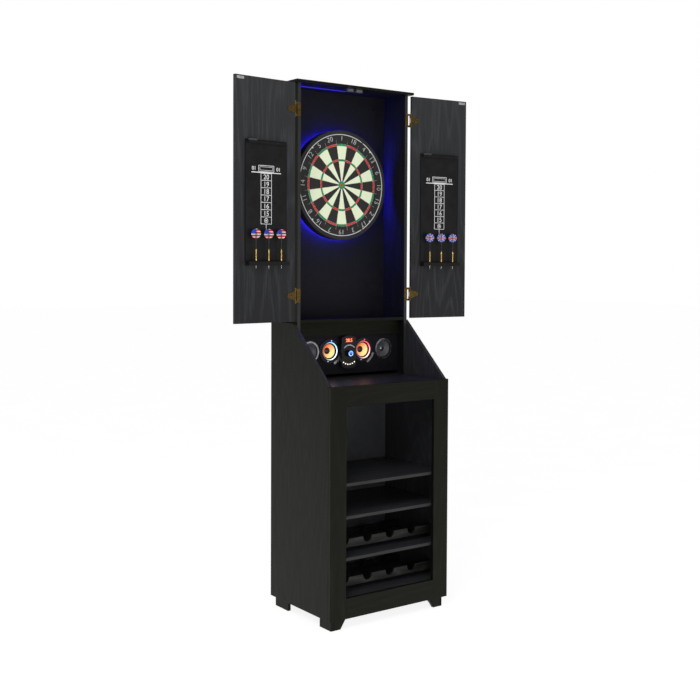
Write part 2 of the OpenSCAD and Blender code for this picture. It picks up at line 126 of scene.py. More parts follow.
def oak(name, along, dark, light, gloss=0.42, specular=0.3, seed=0.0, relief=0.0002, shaded_from=None,
        painted_light_above=None, inner_tones=None, tint=(1.0, 1.0, 1.0)):
    """Black-stained oak grain: open pores, arched figure and slow changes of tone along one axis.
    Faces further back than shaded_from are darkened as painted shade; the two heights of painted light above
    give a painted fade, darker low down and paler up high.
    The inner tones are the dark and light colour of faces nearer the middle than their half width (painted
    light on the base sides), and tint colours the sheen."""
    mat, tree, shader = new_material(name)
    squeeze = {"x": (0.035, 1, 1), "y": (1, 0.035, 1), "z": (1, 1, 0.035)}[along]
    fine = noise(tree, place(tree, squeeze, (seed, seed, seed)), 230, 5, 0.7)
    arch_scale = tuple(0.12 if v < 1 else 1 for v in squeeze)
    swell = noise(tree, place(tree, arch_scale, (seed + 3, seed, seed + 7)), 6, 2, 0.4)
    rings = math_node(tree, "PINGPONG", math_node(tree, "MULTIPLY", swell, 17.0), 0.5)
    figure = span(tree, rings, 0.25, 0.5)
    patches = noise(tree, place(tree, arch_scale, (seed, 5, seed)), 3, 2)
    pores = span(tree, fine, 0.3, 0.72)
    mixed = math_node(tree, "ADD", math_node(tree, "MULTIPLY", pores, 0.45),
                      math_node(tree, "MULTIPLY", math_node(tree, "MULTIPLY", figure, pores), 0.9))
    tone = math_node(tree, "MULTIPLY", mixed, span(tree, patches, 0.3, 0.7, 0.8, 1.15))
    if shaded_from is not None:
        # Painted shade: faces further back than shaded_from fade to the dark colour
        depth = add_node(tree, "SeparateXYZ", {0: place(tree)}).outputs[1]
        tone = math_node(tree, "MULTIPLY", tone, span(tree, depth, shaded_from - 0.01, shaded_from, 1.0, 0.0))
    # Painted light: the tone gets paler towards the top and darker towards the bottom, as if lit from above
    if painted_light_above is not None:
        height = add_node(tree, "SeparateXYZ", {0: place(tree)}).outputs[2]
        painted_light_fade = span(tree, height, painted_light_above[0], painted_light_above[1], -0.3, 0.34)
        tone = math_node(tree, "ADD", tone, painted_light_fade)
    wood = blend_colours(tree, tone, dark, light)
    # Inner faces get their own tones; on the base sides these are a lighter copy of the oak, painted light
    if inner_tones is not None:
        sideways = add_node(tree, "SeparateXYZ", {0: place(tree)}).outputs[0]
        inner = math_node(tree, "LESS_THAN", math_node(tree, "ABSOLUTE", sideways), inner_tones[2])
        wood = blend_colours(tree, inner, wood, blend_colours(tree, tone, inner_tones[0], inner_tones[1]))
    tree.links.new(wood, shader.inputs["Base Color"])
    tree.links.new(span(tree, fine, 0.3, 0.7, gloss + 0.12, gloss - 0.05), shader.inputs["Roughness"])
    shader.inputs["Specular IOR Level"].default_value = specular
    shader.inputs["Specular Tint"].default_value = (*tint, 1.0)
    if relief:
        add_bump(tree, shader, pores, relief, 0.4)
    return mat


def mottled(name, first, second, scale, roughness, metallic=0.0, specular=0.5, depth=0.0, detail=4.0,
            stretch=(1, 1, 1)):
    """A finish that varies a little between two colours, with a matching change in roughness."""
    mat, tree, shader = new_material(name)
    grainy = noise(tree, place(tree, stretch), scale, detail)
    tone = span(tree, grainy, 0.3, 0.7)
    tree.links.new(blend_colours(tree, tone, first, second), shader.inputs["Base Color"])
    low, high = roughness
    tree.links.new(span(tree, grainy, 0.3, 0.7, low, high), shader.inputs["Roughness"])
    shader.inputs["Metallic"].default_value = metallic
    shader.inputs["Specular IOR Level"].default_value = specular
    if depth:
        add_bump(tree, shader, grainy, depth, 0.5)
    return mat


def lit(name, first, second, strength, scale=60.0):
    """A glowing diffuser that varies between two colours."""
    mat, tree, shader = new_material(name)
    where = span(tree, noise(tree, place(tree), scale, 2), 0.35, 0.65)
    glow = blend_colours(tree, where, first, second)
    tree.links.new(glow, shader.inputs["Emission Color"])
    tree.links.new(glow, shader.inputs["Base Color"])
    shader.inputs["Emission Strength"].default_value = strength
    shader.inputs["Roughness"].default_value = 0.35
    return mat


def blue_led():
    """Strong blue behind the dartboard, and a much dimmer diffuser under the top board."""
    mat, tree, shader = new_material("blue_led")
    height = add_node(tree, "SeparateXYZ", {0: place(tree)}).outputs[2]
    speckle = noise(tree, place(tree), 90, 1)
    beads = math_node(tree, "PINGPONG", math_node(tree, "MULTIPLY", speckle, 6.0), 0.5)
    ring = blend_colours(tree, beads, colour(0.02, 0.012, 1.0), colour(0.045, 0.03, 1.0))
    is_strip = math_node(tree, "GREATER_THAN", height, STRIP_ABOVE_Z)
    glow = blend_colours(tree, is_strip, ring, colour(0.0003, 0.0002, 0.006))
    tree.links.new(glow, shader.inputs["Emission Color"])
    tree.links.new(glow, shader.inputs["Base Color"])
    shader.inputs["Emission Strength"].default_value = 90.0
    shader.inputs["Roughness"].default_value = 0.4
    return mat


def from_middle(tree, centre):
    """Distances right of and above the middle of a speaker, and from it."""
    away = add_node(tree, "VectorMath", {0: place(tree), 1: centre}, operation="SUBTRACT").outputs[0]
    split = add_node(tree, "SeparateXYZ", {0: away}).outputs
    squares = [math_node(tree, "MULTIPLY", split[i], split[i]) for i in (0, 2)]
    return split[0], split[2], math_node(tree, "SQRT", math_node(tree, "ADD", *squares))


def speaker_glow(name, centre):
    """Painted light of its ring on the cone: red-orange on the left and yellow-white at the lower right, with
    painted shade in rings for the ribs.
    """
    mat, tree, shader = new_material(name)
    right, above, radius = from_middle(tree, centre)
    lean = math_node(tree, "SUBTRACT", math_node(tree, "MULTIPLY", right, 0.8),
                     math_node(tree, "MULTIPLY", above, 0.6))
    warm = blend_colours(tree, span(tree, lean, -0.022, 0.02), colour(0.62, 0.06, 0.01),
                         colour(1.0, 0.62, 0.24))
    # Painted shade in rings for the cone's ribs
    rib_shade = math_node(tree, "PINGPONG", math_node(tree, "MULTIPLY", radius, 300.0), 0.5)
    shade = blend_colours(tree, span(tree, rib_shade, 0.0, 0.5, 0.5, 0.0), warm, colour(0.16, 0.02, 0.004))
    tree.links.new(shade, shader.inputs["Emission Color"])
    tree.links.new(shade, shader.inputs["Base Color"])
    shader.inputs["Emission Strength"].default_value = 1.25
    shader.inputs["Roughness"].default_value = 0.5
    return mat


def ring_lights():
    """Lit rings: white at the bottom, ice blue or rose at the top, and dimmer on the left."""
    mat, tree, shader = new_material("ring_lights")
    x, y, z = add_node(tree, "SeparateXYZ", {0: place(tree)}).outputs
    is_right = math_node(tree, "GREATER_THAN", x, UNIT_X)
    middle = math_node(tree, "ADD", UNIT_X - WOOFER_DX, math_node(tree, "MULTIPLY", is_right, 2 * WOOFER_DX))
    across = math_node(tree, "SUBTRACT", x, middle)
    top_tint = blend_colours(tree, is_right, colour(0.25, 0.6, 1.0), colour(1.0, 0.06, 0.12))
    low_tint = blend_colours(tree, is_right, colour(0.7, 0.85, 1.0), colour(1.0, 0.62, 0.62))
    tint = blend_colours(tree, span(tree, z, WOOFER_Z - 0.03, WOOFER_Z + 0.025), low_tint, top_tint)
    dim = blend_colours(tree, span(tree, across, -0.02, 0.022), colour(0.05, 0.04, 0.05), tint)
    tree.links.new(dim, shader.inputs["Emission Color"])
    tree.links.new(dim, shader.inputs["Base Color"])
    shader.inputs["Emission Strength"].default_value = 2.2
    shader.inputs["Roughness"].default_value = 0.35
    return mat


def printed_flight(name, style):
    """Print on a dart's wing, by its own UVs: a plain corner and stripes, or crossing bands."""
    mat, tree, shader = new_material(name)
    uv = add_node(tree, "SeparateXYZ", {0: add_node(tree, "TexCoord").outputs["UV"]}).outputs
    red, white, blue = colour(0.5, 0.008, 0.02), colour(0.62, 0.62, 0.68), colour(0.012, 0.045, 0.5)
    if style == "stripes":
        band = math_node(tree, "GREATER_THAN", math_node(tree, "PINGPONG", math_node(
            tree, "MULTIPLY", uv[1], 3.5), 0.5), 0.3)
        ground = blend_colours(tree, band, red, white)
        corner = math_node(tree, "MULTIPLY", math_node(tree, "LESS_THAN", uv[0], 0.45),
                           math_node(tree, "GREATER_THAN", uv[1], 0.5))
        face = blend_colours(tree, corner, ground, blue)
    else:
        u = math_node(tree, "ABSOLUTE", math_node(tree, "SUBTRACT", uv[0], 0.5))
        v = math_node(tree, "ABSOLUTE", math_node(tree, "SUBTRACT", uv[1], 0.5))
        square = math_node(tree, "MINIMUM", u, v)
        slant = math_node(tree, "ABSOLUTE", math_node(tree, "SUBTRACT", u, v))
        face = blend_colours(tree, math_node(tree, "LESS_THAN", slant, 0.05), blue, white)
        face = blend_colours(tree, math_node(tree, "LESS_THAN", square, 0.11), face, white)
        face = blend_colours(tree, math_node(tree, "LESS_THAN", square, 0.065), face, red)
    tree.links.new(face, shader.inputs["Base Color"])
    sheen = noise(tree, place(tree), 300, 2)
    tree.links.new(span(tree, sheen, 0.3, 0.7, 0.2, 0.35), shader.inputs["Roughness"])
    return mat


OAK_DARK, OAK_LIGHT = colour(0.003, 0.0031, 0.0021), colour(0.0084, 0.0086, 0.0062)
OLIVE = (0.92, 0.95, 0.76)
DOOR_DARK, DOOR_LIGHT = colour(0.0155, 0.016, 0.0175), colour(0.04, 0.0415, 0.044)
# Shelves: a much lighter copy of the black oak, painted light for the lit bay
LIT_SHELF_DARK, LIT_SHELF_LIGHT = colour(0.03, 0.031, 0.036), colour(0.062, 0.064, 0.073)
# Inner faces of the base sides: a lighter copy of the black oak, painted light for the lit bay
LIT_WALL_DARK, LIT_WALL_LIGHT = colour(0.022, 0.023, 0.026), colour(0.042, 0.043, 0.048)
CASE_DARK, CASE_LIGHT = colour(0.004, 0.0042, 0.006), colour(0.009, 0.0095, 0.013)
# Painted highlight: lighter oak for the edge strips, for the light caught along the edges
EDGE_HIGHLIGHT_DARK, EDGE_HIGHLIGHT_LIGHT = colour(0.016, 0.0165, 0.0155), colour(0.034, 0.035, 0.033)

M = {
    "oak_upright": oak("oak_upright", "z", OAK_DARK, OAK_LIGHT, specular=0.14, tint=OLIVE),
    "oak_across": oak("oak_across", "x", OAK_DARK, OAK_LIGHT, specular=0.14, seed=4.0, tint=OLIVE),
    # Door oak with painted light: paler towards the top and darker towards the bottom
    "oak_door": oak("oak_door", "z", DOOR_DARK, DOOR_LIGHT, gloss=0.5, specular=0.2, seed=9.0,
                    painted_light_above=(1.1, 2.1)),
    # Shelves and bay floor with painted light
    "oak_shelf_painted_light": oak("oak_shelf_painted_light", "x", LIT_SHELF_DARK, LIT_SHELF_LIGHT, gloss=0.35, seed=2.0),
    # Base sides: their inner faces carry painted light
    "base_side": oak("base_side", "z", OAK_DARK, OAK_LIGHT, specular=0.14, seed=1.0,
                     inner_tones=(LIT_WALL_DARK, LIT_WALL_LIGHT, 277.5 * MM), tint=OLIVE),
    "case_side": oak("case_side", "z", OAK_DARK, OAK_LIGHT, gloss=0.5, specular=0.15, seed=6.0,
                     inner_tones=(CASE_DARK, CASE_LIGHT, 262.5 * MM)),
    "counter": mottled("counter", colour(0.016, 0.016, 0.019), colour(0.026, 0.026, 0.03), 25, (0.34, 0.38)),
    # Bottle rests with painted shade on their parts further back
    "bottle_oak": oak("bottle_oak", "x", colour(0.002, 0.002, 0.002), colour(0.045, 0.0455, 0.04), seed=3.0,
                      shaded_from=0.07),
    "backing": mottled("backing", colour(0.0045, 0.0045, 0.007), colour(0.008, 0.008, 0.012), 40, (0.5, 0.65),
                       specular=0.15),
    # Base back panel: lighter than the upper back panel, painted light for the lit bay
    "bay_back_painted_light": mottled("bay_back_painted_light", colour(0.03, 0.032, 0.037), colour(0.045, 0.047, 0.052), 40, (0.5, 0.65)),
    "rear_board": mottled("rear_board", colour(0.02, 0.018, 0.016), colour(0.05, 0.045, 0.04), 90,
                          (0.6, 0.8)),
    # Edge strips with painted highlight
    "edge_highlight_oak": oak("edge_highlight_oak", "x", EDGE_HIGHLIGHT_DARK, EDGE_HIGHLIGHT_LIGHT, seed=7.0),
    "upright_highlight_oak": oak("upright_highlight_oak", "z", EDGE_HIGHLIGHT_DARK, EDGE_HIGHLIGHT_LIGHT, seed=8.0),
    "sisal_black": mottled("sisal_black", colour(0.006, 0.006, 0.006), colour(0.03, 0.028, 0.026), 900,
                           (0.75, 0.95), depth=0.0003),
    "sisal_cream": mottled("sisal_cream", colour(0.76, 0.86, 0.56), colour(0.94, 1.0, 0.76), 900,
                           (0.75, 0.95), depth=0.0003),
    "sisal_red": mottled("sisal_red", colour(0.5, 0.02, 0.015), colour(0.75, 0.05, 0.03), 900, (0.75, 0.95),
                         depth=0.0003),
    "sisal_green": mottled("sisal_green", colour(0.0, 0.2, 0.07), colour(0.01, 0.36, 0.13), 900, (0.75, 0.95),
                           depth=0.0003),
    "wire": mottled("wire", colour(0.5, 0.5, 0.52), colour(0.75, 0.75, 0.77), 200, (0.2, 0.35), metallic=1.0),
    "band": mottled("band", colour(0.008, 0.008, 0.009), colour(0.02, 0.02, 0.022), 120, (0.35, 0.5)),
    "number_white": mottled("number_white", colour(0.7, 0.7, 0.7), colour(0.85, 0.85, 0.85), 200,
                            (0.3, 0.45)),
    "brass": mottled("brass", colour(0.035, 0.022, 0.008), colour(0.24, 0.155, 0.045), 260, (0.3, 0.5),
                     metallic=1.0, depth=0.0001),
    "dart_brass": mottled("dart_brass", colour(0.55, 0.36, 0.1), colour(0.85, 0.6, 0.22), 500, (0.18, 0.3),
                          metallic=1.0),
    "steel": mottled("steel", colour(0.5, 0.5, 0.5), colour(0.7, 0.7, 0.7), 300, (0.15, 0.3), metallic=1.0),
    "zinc": mottled("zinc", colour(0.38, 0.39, 0.4), colour(0.6, 0.61, 0.62), 150, (0.3, 0.5), metallic=0.6),
    "catch": mottled("catch", colour(0.03, 0.03, 0.032), colour(0.06, 0.06, 0.062), 200, (0.4, 0.6)),
    "film": mottled("film", colour(0.0055, 0.0058, 0.0058), colour(0.0095, 0.01, 0.01), 30, (0.3, 0.45),
                    specular=0.2),
    "print_white": mottled("print_white", colour(0.75, 0.75, 0.76), colour(0.9, 0.9, 0.9), 400, (0.4, 0.5)),
    "rack": mottled("rack", colour(0.003, 0.003, 0.0035), colour(0.008, 0.008, 0.009), 300, (0.4, 0.55),
                    specular=0.2, depth=0.0001),
    "felt": mottled("felt", colour(0.03, 0.031, 0.033), colour(0.075, 0.077, 0.08), 700, (0.8, 0.95),
                    depth=0.0004),
    "housing": mottled("housing", colour(0.003, 0.003, 0.0045), colour(0.008, 0.008, 0.011), 250, (0.2, 0.32),
                       specular=0.25),
    "silver": mottled("silver", colour(0.3, 0.305, 0.31), colour(0.6, 0.61, 0.62), 300, (0.25, 0.4),
                      metallic=0.9, stretch=(1, 1, 0.1)),
    "dark_chrome": mottled("dark_chrome", colour(0.15, 0.15, 0.165), colour(0.4, 0.4, 0.43), 60, (0.12, 0.25),
                           metallic=1.0),
    "cone_grey": mottled("cone_grey", colour(0.05, 0.05, 0.057), colour(0.1, 0.1, 0.112), 200, (0.4, 0.55),
                         depth=0.0002),
    "cone_dark": mottled("cone_dark", colour(0.012, 0.012, 0.014), colour(0.035, 0.035, 0.04), 300,
                         (0.45, 0.6), depth=0.0002),
    "cap_gloss": mottled("cap_gloss", colour(0.012, 0.01, 0.01), colour(0.03, 0.022, 0.02), 100, (0.12, 0.2)),
    "ring_lights": ring_lights(),
    "left_cone_glow": speaker_glow("left_cone_glow", (UNIT_X - WOOFER_DX, 0, WOOFER_Z)),
    "right_cone_glow": speaker_glow("right_cone_glow", (UNIT_X + WOOFER_DX, 0, WOOFER_Z)),
    "knob_blue": lit("knob_blue", colour(0.1, 0.25, 1.0), colour(0.3, 0.5, 1.0), 3.0),
    "button_lit": lit("button_lit", colour(1.0, 0.93, 0.6), colour(1.0, 0.98, 0.85), 1.2),
    "display_lit": lit("display_lit", colour(1.0, 0.1, 0.03), colour(1.0, 0.2, 0.08), 3.5),
    "display_back": lit("display_back", colour(0.05, 0.002, 0.001), colour(0.09, 0.004, 0.002), 0.3),
    "blue_led": blue_led(),
    "flight_stripes": printed_flight("flight_stripes", "stripes"),
    "flight_crosses": printed_flight("flight_crosses", "crosses"),
    "shaft": mottled("shaft", colour(0.006, 0.006, 0.007), colour(0.02, 0.02, 0.02), 300, (0.3, 0.45)),
}


# -------------------------------------------------------- finishes of CAD parts

CAD_FINISH = {
    "oak_upright": ["frame_stiles", "feet"],
    "base_side": ["base_left_side", "base_right_side"],
    "case_side": ["upper_left_side", "upper_right_side"],
    "oak_across": ["frame_rails", "top_board", "upper_floor", "speaker_header"],
    "oak_door": ["left_door_panel", "right_door_panel"],
    "oak_shelf_painted_light": ["shelves", "base_floor"],
    "bottle_oak": ["bottle_rests"],
    "counter": ["counter_top"],
    "backing": ["upper_back_panel", "speaker_panel"],
    "bay_back_painted_light": ["base_back_panel"],
    "rear_board": ["wall_cleats"],
    "steel": ["shelf_pins", "dartboard_bracket"],
    "housing": ["speaker_housing", "volume_knob"],
    "silver": ["speaker_accents"],
    "ring_lights": ["woofer_light_rings"],
    "dark_chrome": ["passive_speaker_rims"],
    "display_back": ["speaker_display"],
    "sisal_black": ["dartboard_disc"],
    "band": ["dartboard_band"],
    "wire": ["dartboard_spider"],
    "number_white": ["dartboard_number_ring"],
    "blue_led": ["led_lights"],
    "brass": ["cabinet_hinge_leaves", "hinge_pins", "left_hinge_leaves", "right_hinge_leaves"],
    "catch": ["magnetic_catches"],
    "zinc": ["left_strike_plate", "right_strike_plate"],
    "film": ["left_scoreboard", "right_scoreboard"],
    "rack": ["left_dart_rack", "right_dart_rack"],
    "felt": ["left_eraser", "right_eraser"],
    "button_lit": ["button_%d" % i for i in range(1, 7)],
    "cone_dark": ["passive_speaker_cones", "woofer_cones"],
    "shaft": ["dart_%d" % i for i in range(1, 7)],
}
# Width of the eased edge on CAD parts that have sharp board or moulding edges
EDGE_MM = {
    "base_left_side": 0.8, "base_right_side": 0.8, "frame_stiles": 1.2, "frame_rails": 0.8, "feet": 0.8,
    "upper_left_side": 0.8, "upper_right_side": 0.8, "top_board": 0.8, "upper_floor": 0.6,
    "speaker_header": 0.8, "left_door_panel": 0.8, "right_door_panel": 0.8, "shelves": 0.6,
    "counter_top": 0.6, "left_dart_rack": 1.0, "right_dart_rack": 1.0, "left_eraser": 2.0,
    "right_eraser": 2.0, "magnetic_catches": 1.0, "speaker_housing": 1.5, "volume_knob": 1.2,
    "left_scoreboard": 0.5, "right_scoreboard": 0.5, "bottle_rests": 0.6,
}


def ease_edges(obj, width):
    """Small rounded edges, made by modifiers so that the node's own mesh stays as it is."""
    weld = obj.modifiers.new("weld", "WELD")
    weld.merge_threshold = 0.00001
    bevel = obj.modifiers.new("eased_edge", "BEVEL")
    bevel.width = width * MM
    bevel.segments = 2
    bevel.limit_method = "ANGLE"
    bevel.angle_limit = math.radians(40)
    bevel.use_clamp_overlap = True


for finish_name, members in CAD_FINISH.items():
    for member in members:
        nodes[member].data.materials.clear()
        nodes[member].data.materials.append(M[finish_name])
for member, width in EDGE_MM.items():
    ease_edges(nodes[member], width)


# ------------------------------------------------------------------- door places

AJAR = math.radians(5)
SIDE_SIGN = {"left": -1, "right": 1}
HINGE_AXES = {side: next(Vector(j["pos_m"]) for j in frame["joints"] if j["name"] == side + "_door_hinge")
              for side in SIDE_SIGN}


def swing(side):
    """Moves what was placed for a door open flat to where the door rests, a little short of flat."""
    axis = Matrix.Translation(HINGE_AXES[side])
    return axis @ Matrix.Rotation(-SIDE_SIGN[side] * AJAR, 4, "Z") @ axis.inverted()


def flat_box(node, side):
    """Corners of a node on a door, as if that door were open flat."""
    back = swing(side).inverted()
    points = [back @ v.co for v in nodes[node].data.vertices]
    return (Vector([min(p[i] for p in points) for i in range(3)]),
            Vector([max(p[i] for p in points) for i in range(3)]))


# ---------------------------------------------------------------- mesh building

# Faces of a box whose corners run through z fastest, then y, then x
BOX_FACES = [(0, 1, 3, 2), (4, 6, 7, 5), (0, 4, 5, 1), (2, 3, 7, 6), (0, 2, 6, 4), (1, 5, 7, 3)]


class Shape:
    """Collects faces of one piece, each with the number of its material."""

    def __init__(self):
        self.points = []
        self.faces = []
        self.paint = []
        self.uvs = []

    def add(self, points, faces, paint=0, uvs=None):
        start = len(self.points)
        self.points += [tuple(p) for p in points]
        self.uvs += uvs or [(0.0, 0.0)] * len(points)
        self.faces += [tuple(start + i for i in f) for f in faces]
        self.paint += [paint] * len(faces)

    def block(self, low, high, paint=0):
        corners = [(x, y, z) for x in (low[0], high[0]) for y in (low[1], high[1])
                   for z in (low[2], high[2])]
        self.add(corners, BOX_FACES, paint)

    def turned(self, profile, turn=None, steps=48, paint=0):
        """A lathe form: profile is (radius, height) pairs about +Z; turn is the matrix that places it."""
        turn = turn or Matrix.Identity(4)
        rings = []
        for radius, height in profile:
            rings.append([turn @ Vector((radius * math.cos(a), radius * math.sin(a), height))
                          for a in (2 * math.pi * k / steps for k in range(steps))])
        faces = []
        for i in range(len(rings) - 1):
            for k in range(steps):
                n = (k + 1) % steps
                faces.append((i * steps + k, i * steps + n, (i + 1) * steps + n, (i + 1) * steps + k))
        self.add([p for ring in rings for p in ring], faces, paint)

    def sector(self, centre, radii, angles, y, thick, paint=0, steps=3):
        """A piece of a flat ring that faces -Y; angles run clockwise from the top, seen from the front."""
        points = []
        for k in range(steps + 1):
            a = angles[0] + (angles[1] - angles[0]) * k / steps
            for r in radii:
                for depth in (0, thick):
                    points.append((centre[0] + r * math.sin(a), y - depth, centre[1] + r * math.cos(a)))
        faces = []
        for k in range(steps):
            i, j = 4 * k, 4 * k + 4
            faces += [(i + 1, i + 3, j + 3, j + 1), (i, j, j + 2, i + 2), (i + 2, j + 2, j + 3, i + 3),
                      (i, i + 1, j + 1, j)]
        end = 4 * steps
        faces += [(0, 2, 3, 1), (end, end + 1, end + 3, end + 2)]
        self.add(points, faces, paint)

    def lettering(self, words, height, turn, thick, paint=0, thin=0.0):
        """Plain numbers standing up from a face; turn places them, with +X along the line and +Y up."""
        curve = bpy.data.curves.new("digits", "FONT")
        curve.body = words
        curve.size = height / 0.7
        curve.align_x = "CENTER"
        curve.extrude = thick / 2
        curve.offset = thin
        curve.resolution_u = 3
        holder = bpy.data.objects.new("digits", curve)
        scene.collection.objects.link(holder)
        bpy.context.view_layer.update()
        mesh = holder.evaluated_get(bpy.context.evaluated_depsgraph_get()).to_mesh()
        drop = Matrix.Translation((0, -height / 2, thick / 2))
        points = [turn @ drop @ v.co for v in mesh.vertices]
        self.add(points, [tuple(p.vertices) for p in mesh.polygons], paint)
        bpy.data.objects.remove(holder)
        bpy.data.curves.remove(curve)

    def make(self, name, body, materials, smooth=True, replaces=(), side=None):
        """Turns the collected faces into a piece that rides on a body; side swings it with that door."""
        mesh = bpy.data.meshes.new(name)
        mesh.from_pydata(self.points, [], self.faces)
        for material in materials:
            mesh.materials.append(M[material])
        mesh.polygons.foreach_set("material_index", self.paint)
        layer = mesh.uv_layers.new(name="UVMap")
        for loop in mesh.loops:
            layer.data[loop.index].uv = self.uvs[loop.vertex_index]
        mesh.validate()
        if side:
            mesh.transform(swing(side))
        obj = bpy.data.objects.new(name, mesh)
        scene.collection.objects.link(obj)
        if smooth:
            mesh.shade_smooth()
            mesh.set_sharp_from_angle(angle=math.radians(35))
        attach(obj, body)
        if replaces:
            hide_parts(*replaces)
        return obj


def facing_front(x, y, z, spin=0.0):
    """Placement whose +Z looks out of the front (-Y), +X right and +Y up; spin turns it clockwise."""
    upright = Matrix.Rotation(math.pi / 2, 4, "X")
    return Matrix.Translation((x, y, z)) @ Matrix.Rotation(spin, 4, "Y") @ upright


# ------------------------------------------------------------------- dartboard

disc_low, disc_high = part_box("dartboard_disc")
BULL_X = (disc_low.x + disc_high.x) / 2
BULL_Z = (disc_low.z + disc_high.z) / 2
FACE_Y = disc_low.y
BULL = (BULL_X, BULL_Z)
SLICE = 2 * math.pi / 20
NUMBER_R = 194 * MM
NUMBERS = [1, 18, 4, 13, 6, 10, 15, 2, 17, 3, 19, 7, 16, 8, 11, 14, 9, 12, 5, 20]
BLACK, CREAM, RED, GREEN = range(4)


def dartboard_field():
    """Coloured slices, doubles, trebles and bulls, raised a little from the black board."""
    shape = Shape()
    raised = 0.4 * MM
    for k in range(20):
        angles = ((k - 0.5) * SLICE, (k + 0.5) * SLICE)
        bed, narrow = (CREAM, GREEN) if k % 2 == 0 else (BLACK, RED)
        for radii, paint in (((16, 99), bed), ((99, 107), narrow), ((107, 162), bed), ((162, 170), narrow)):
            shape.sector(BULL, (radii[0] * MM, radii[1] * MM), angles, FACE_Y, raised, paint)
        shape.sector(BULL, (6.4 * MM, 16 * MM), angles, FACE_Y, raised, GREEN)
        shape.sector(BULL, (0.01 * MM, 6.4 * MM), angles, FACE_Y, 2 * raised, RED)
    shape.make("dartboard_field", "cabinet",
               ["sisal_black", "sisal_cream", "sisal_red", "sisal_green"], smooth=False)


def dartboard_numbers():
    shape = Shape()
    for k, number in enumerate(NUMBERS):
        spin = k * SLICE
        x = BULL_X + NUMBER_R * math.sin(spin)
        z = BULL_Z + NUMBER_R * math.cos(spin)
        shape.lettering(str(number), 21 * MM, facing_front(x, FACE_Y, z, spin), 1.2 * MM, thin=-0.8 * MM)
    for k in (2, 7, 12, 17):
        spread = 0.012
        angle = (k + 0.5) * SLICE
        shape.sector(BULL, (203 * MM, 209 * MM), (angle - spread, angle + spread), FACE_Y, 1.5 * MM)
    shape.make("dartboard_numbers", "cabinet", ["number_white"], smooth=False)


dartboard_field()
dartboard_numbers()


# ---------------------------------------------------------------- scoreboards

SCORE_ROWS = ["20", "19", "18", "17", "16", "15"]
SCORE_THICK = 4 * MM


def outline(shape, low, high, y, line, thick):
    """A rectangle drawn with four raised lines."""
    (x0, z0), (x1, z1) = low, high
    for a, b in (((x0, z0), (x1, z0 + line)), ((x0, z1 - line), (x1, z1)), ((x0, z0), (x0 + line, z1)),
                 ((x1 - line, z0), (x1, z1))):
        shape.block((a[0], y - thick, a[1]), (b[0], y, b[1]))


def scoreboard_markings(side):
    """White score table: header box, side numbers, seven rows and the mark for the bull."""
    low, high = flat_box(side + "_scoreboard", side)
    x = (low.x + high.x) / 2
    y = high.y - SCORE_THICK
    base = low.z
    shape = Shape()
    line, thick = 1.9 * MM, 0.2 * MM
    header, table_low, table_high = base + 370 * MM, base + 158 * MM, base + 353 * MM
    row = (table_high - table_low) / 7
    outline(shape, (x - 37 * MM, header - 12.5 * MM), (x + 37 * MM, header + 12.5 * MM), y, line, thick)
    outline(shape, (x - 31 * MM, header - 7 * MM), (x + 31 * MM, header + 7 * MM), y, 1.3 * MM, thick)
    shape.block((x - 70 * MM, y - thick, header - 17 * MM), (x + 70 * MM, y, header - 13.6 * MM))
    outline(shape, (x - 26 * MM, table_low), (x + 26 * MM, table_high), y, line, thick)
    for k in range(1, 7):
        z = table_high - k * row
        shape.block((x - 26 * MM, y - thick, z - line / 2), (x + 26 * MM, y, z + line / 2))
    for k, words in enumerate(SCORE_ROWS):
        z = table_high - (k + 0.5) * row
        shape.lettering(words, 19 * MM, facing_front(x, y, z), thick)
    for offset in (-58, 58):
        shape.lettering("01", 14 * MM, facing_front(x + offset * MM, y, header), thick, thin=0.2 * MM)
    bull_z = table_low + row / 2
    for radii in ((7, 9), (0.2, 3.4)):
        shape.sector((x, bull_z), (radii[0] * MM, radii[1] * MM), (0, 2 * math.pi), y, thick, steps=32)
    shape.block((x - line / 2, y - thick, table_low - 30 * MM), (x + line / 2, y, table_low))
    shape.make(side + "_score_markings", side + "_door", ["print_white"], smooth=False,
               side=side)


def scoreboard_frame(side):
    """Narrow raised rim round the scoreboard, above the dart rack."""
    low, high = flat_box(side + "_scoreboard", side)
    y = high.y - SCORE_THICK
    shape = Shape()
    inset, rack_top = 0.2 * MM, 17 * MM
    corners = (low.x + inset, low.z + rack_top), (high.x - inset, high.z - inset)
    outline(shape, *corners, y, 2.5 * MM, 0.6 * MM)
    shape.make(side + "_scoreboard_rim", side + "_door", ["rack"], smooth=False, side=side)


for side in ("left", "right"):
    scoreboard_markings(side)
    scoreboard_frame(side)


# ------------------------------------------------------------------------ darts

WING_R = 18.5 * MM


